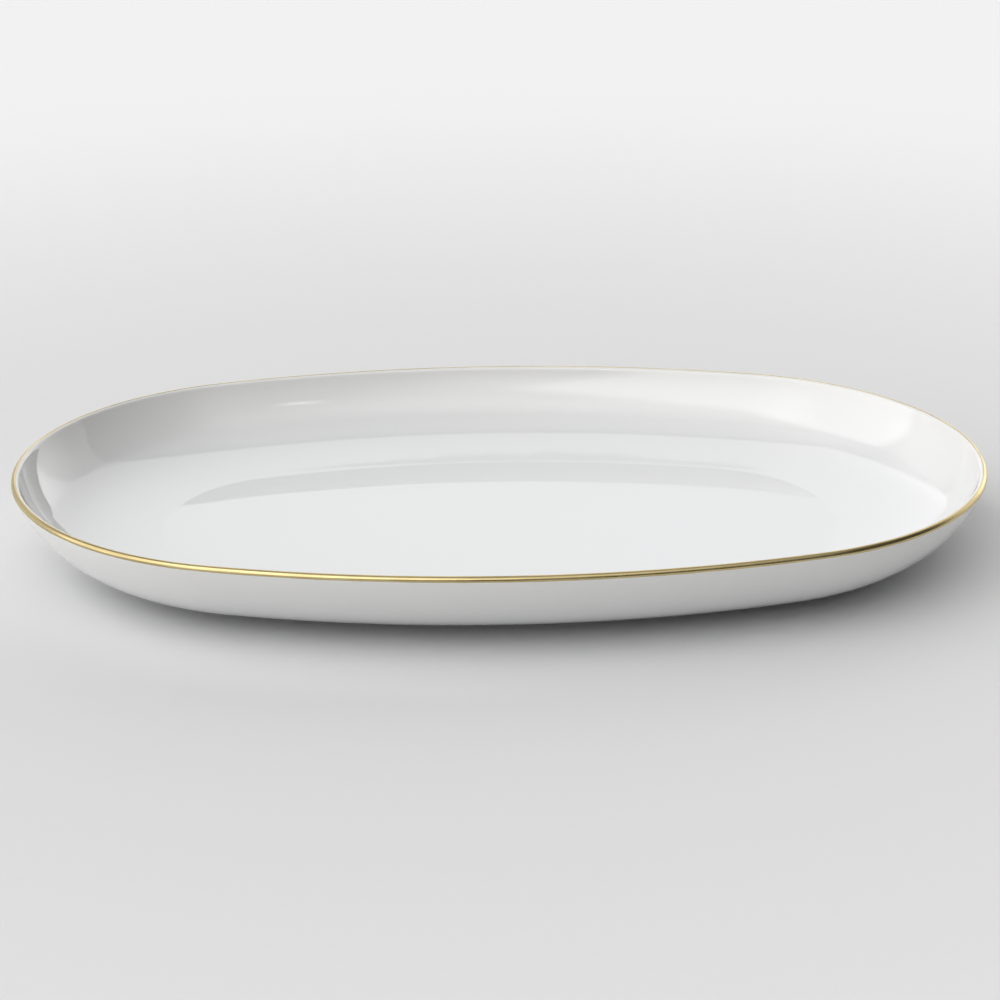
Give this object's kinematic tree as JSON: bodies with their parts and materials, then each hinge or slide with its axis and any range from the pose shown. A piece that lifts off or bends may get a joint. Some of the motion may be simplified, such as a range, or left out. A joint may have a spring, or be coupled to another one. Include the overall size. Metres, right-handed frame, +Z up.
{
  "type": "china serving platter",
  "caption": "Oval coupe serving platter in glazed white bone china with a gilded lip, on an oval foot ring.",
  "frame": {"origin": "centre of the oval plan, on the ground plane of the foot ring", "axes": "+X along the length, +Y across the width, +Z up out of the well"},
  "size_m": [0.3902, 0.2452, 0.0381],
  "materials": {
    "bone_china": "fired bone china under the glaze",
    "bare_foot": "unglazed, ground smooth, matt",
    "clear_glaze": "clear glossy glaze over white china",
    "burnished_gold": "thin fired gold, polished",
    "stamp_print": "printed ceramic colour fired on the glaze"
  },
  "bodies": {
    "root": {"body": "bone_china", "foot_ring": "bare_foot", "glaze_coat": "clear_glaze", "recess_glaze": "clear_glaze", "gold_line": "burnished_gold", "backstamp": "stamp_print"}
  },
  "joints": []
}
